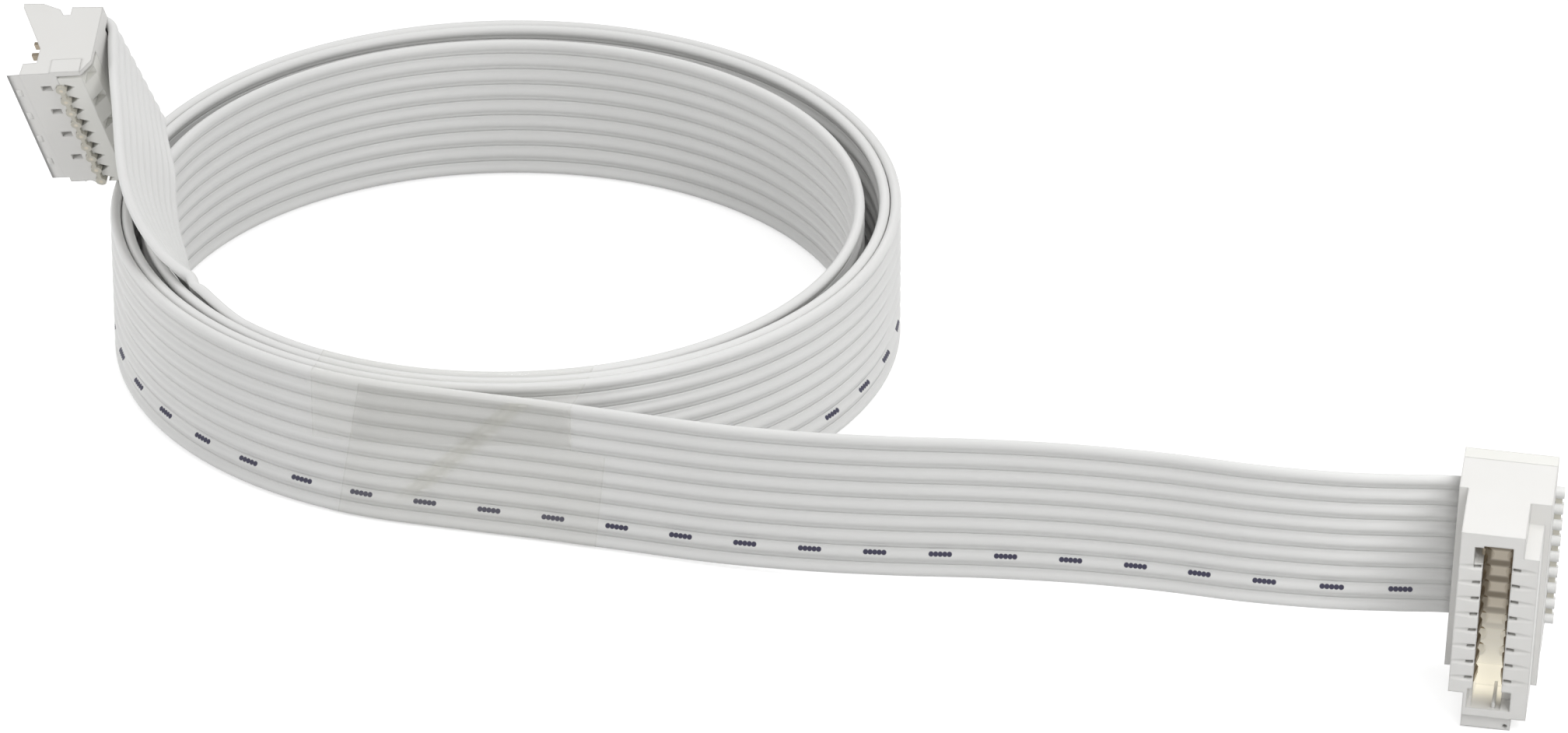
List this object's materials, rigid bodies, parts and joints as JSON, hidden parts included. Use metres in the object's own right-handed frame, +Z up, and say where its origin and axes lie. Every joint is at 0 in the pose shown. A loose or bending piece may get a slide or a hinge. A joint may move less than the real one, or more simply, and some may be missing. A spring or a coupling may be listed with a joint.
{
  "type": "ribbon wiring harness",
  "caption": "Flat ribbon cable wound into a taped coil, with a card-edge connector on the straight outer tail and a small in-line connector on the inner tail.",
  "frame": {"origin": "centre of the bounding box on the standing surface", "axes": "+Z up, +X along the outer tail towards the card-edge connector, -Y towards the front of the coil where the tape is"},
  "size_m": [0.107, 0.0844, 0.025],
  "materials": {
    "ribbon_insulation": "soft satin vinyl",
    "housing_plastic": "moulded, slightly milky",
    "cover_plastic": "moulded, slightly milky",
    "contact_metal": "tin-plated spring strip",
    "conductor_copper": "bare copper strand",
    "clear_tape": "clear film"
  },
  "bodies": {
    "root": {"ribbon_turn_1": "ribbon_insulation", "ribbon_turn_2": "ribbon_insulation", "ribbon_turn_3": "ribbon_insulation", "ribbon_turn_4": "ribbon_insulation", "ribbon_turn_5": "ribbon_insulation", "ribbon_turn_6": "ribbon_insulation", "ribbon_turn_7": "ribbon_insulation", "ribbon_outer_tail": "ribbon_insulation", "ribbon_inner_tail": "ribbon_insulation", "binding_tape": "clear_tape", "edge_housing": "housing_plastic", "edge_cover": "cover_plastic", "edge_ribbon_end": "ribbon_insulation", "edge_conductors": "conductor_copper", "edge_contact_1": "contact_metal", "edge_contact_2": "contact_metal", "edge_contact_3": "contact_metal", "edge_contact_4": "contact_metal", "edge_contact_5": "contact_metal", "edge_contact_6": "contact_metal", "edge_contact_7": "contact_metal", "edge_contact_8": "contact_metal", "edge_contact_9": "contact_metal", "inline_housing": "housing_plastic", "inline_cover": "cover_plastic", "inline_ribbon_end": "ribbon_insulation", "inline_conductors": "conductor_copper", "inline_contact_1": "contact_metal", "inline_contact_2": "contact_metal", "inline_contact_3": "contact_metal", "inline_contact_4": "contact_metal", "inline_contact_5": "contact_metal", "inline_contact_6": "contact_metal", "inline_contact_7": "contact_metal", "inline_contact_8": "contact_metal", "inline_contact_9": "contact_metal"}
  },
  "joints": []
}
